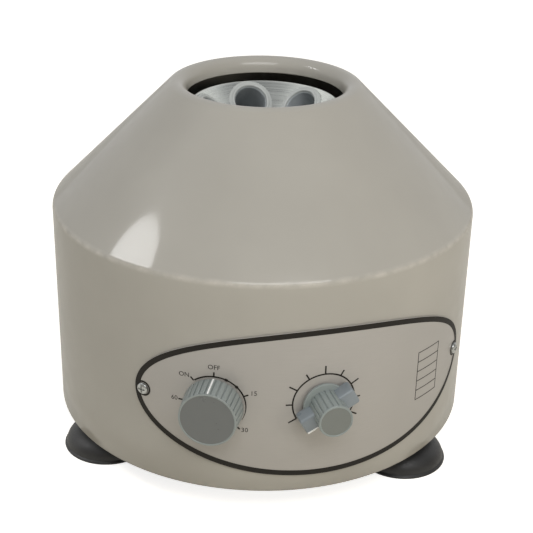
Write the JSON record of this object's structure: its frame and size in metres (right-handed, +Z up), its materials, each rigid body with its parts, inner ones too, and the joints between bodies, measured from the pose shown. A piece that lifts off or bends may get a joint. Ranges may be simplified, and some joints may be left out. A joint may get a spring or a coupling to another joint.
{
  "type": "bench centrifuge",
  "caption": "Low bench centrifuge with a drum body, a conical top with an open rolled mouth, slanted tube sleeves in a dish, and a wrap-round oval panel with a timer and a speed knob.",
  "frame": {"origin": "centre of the base plate's underside, on the rotor's axis, level with the housing's bottom edge", "axes": "+Z up along the rotor's axis; the control panel's centre faces -Y; +X is to the right of someone who faces the panel"},
  "size_m": [0.2628, 0.2859, 0.2257],
  "materials": {
    "housing_paint": "warm grey enamel, semi-gloss",
    "panel": "satin printed plate",
    "rubber": "moulded, matte",
    "zinc": "zinc plated",
    "aluminium": "spun, bright",
    "black_steel": "black enamel",
    "bright_steel": "turned, bright",
    "copper": "varnished winding",
    "grey_plastic": "moulded, satin",
    "blue_grey_plastic": "moulded, satin",
    "sleeve_plastic": "moulded, satin",
    "black_plastic": "moulded, satin",
    "board_green": "lacquered laminate"
  },
  "bodies": {
    "cabinet": {"housing": "housing_paint", "base_plate": "black_steel", "base_screw_1": "zinc", "base_screw_2": "zinc", "base_screw_3": "zinc", "foot_1": "rubber", "foot_2": "rubber", "foot_3": "rubber", "foot_bolt_1": "zinc", "foot_bolt_2": "zinc", "foot_bolt_3": "zinc", "panel_plate": "panel", "panel_screw_left": "zinc", "panel_screw_right": "zinc", "timer_body": "black_plastic", "timer_nut": "bright_steel", "speed_potentiometer": "black_plastic", "speed_nut": "bright_steel", "motor_mount_1": "rubber", "motor_mount_2": "rubber", "motor_mount_3": "rubber", "motor_can": "black_steel", "motor_bracket": "aluminium", "lower_bearing": "bright_steel", "upper_bearing": "bright_steel", "motor_field_ring": "black_steel", "motor_brush_left": "black_plastic", "motor_brush_right": "black_plastic", "board_bridge": "zinc", "speed_board": "board_green", "filter_capacitor": "black_plastic", "triac_heat_sink": "aluminium", "terminal_block": "grey_plastic", "cord_gland": "rubber", "fuse_holder": "black_plastic"},
    "rotor": {"motor_shaft": "bright_steel", "motor_armature": "copper", "motor_commutator": "copper", "rotor_hub": "aluminium", "rotor_support_plate": "aluminium", "rotor_dish": "aluminium", "rotor_cap_nut": "bright_steel", "tube_sleeve_1": "sleeve_plastic", "tube_sleeve_2": "sleeve_plastic", "tube_sleeve_3": "sleeve_plastic", "tube_sleeve_4": "sleeve_plastic", "tube_sleeve_5": "sleeve_plastic", "tube_sleeve_6": "sleeve_plastic", "tube_cushion_1": "rubber", "tube_cushion_2": "rubber", "tube_cushion_3": "rubber", "tube_cushion_4": "rubber", "tube_cushion_5": "rubber", "tube_cushion_6": "rubber"},
    "timer_dial": {"timer_shaft": "bright_steel", "timer_knob": "grey_plastic"},
    "speed_dial": {"speed_shaft": "bright_steel", "speed_knob": "blue_grey_plastic"}
  },
  "joints": [
    {"name": "rotor_spin", "type": "hinge", "parent": "cabinet", "child": "rotor", "pos_m": [0, 0, 0.14], "axis": [0, 0, 1], "continuous": true},
    {"name": "timer_turn", "type": "hinge", "parent": "cabinet", "child": "timer_dial", "pos_m": [-0.06002, -0.11532, 0.0569], "axis": [0.4617, 0.8871, 0], "range_deg": [-40, 270]},
    {"name": "speed_turn", "type": "hinge", "parent": "cabinet", "child": "speed_dial", "pos_m": [-0.00113, -0.13, 0.0583], "axis": [0.0087, 1, 0], "range_deg": [0, 240]}
  ]
}
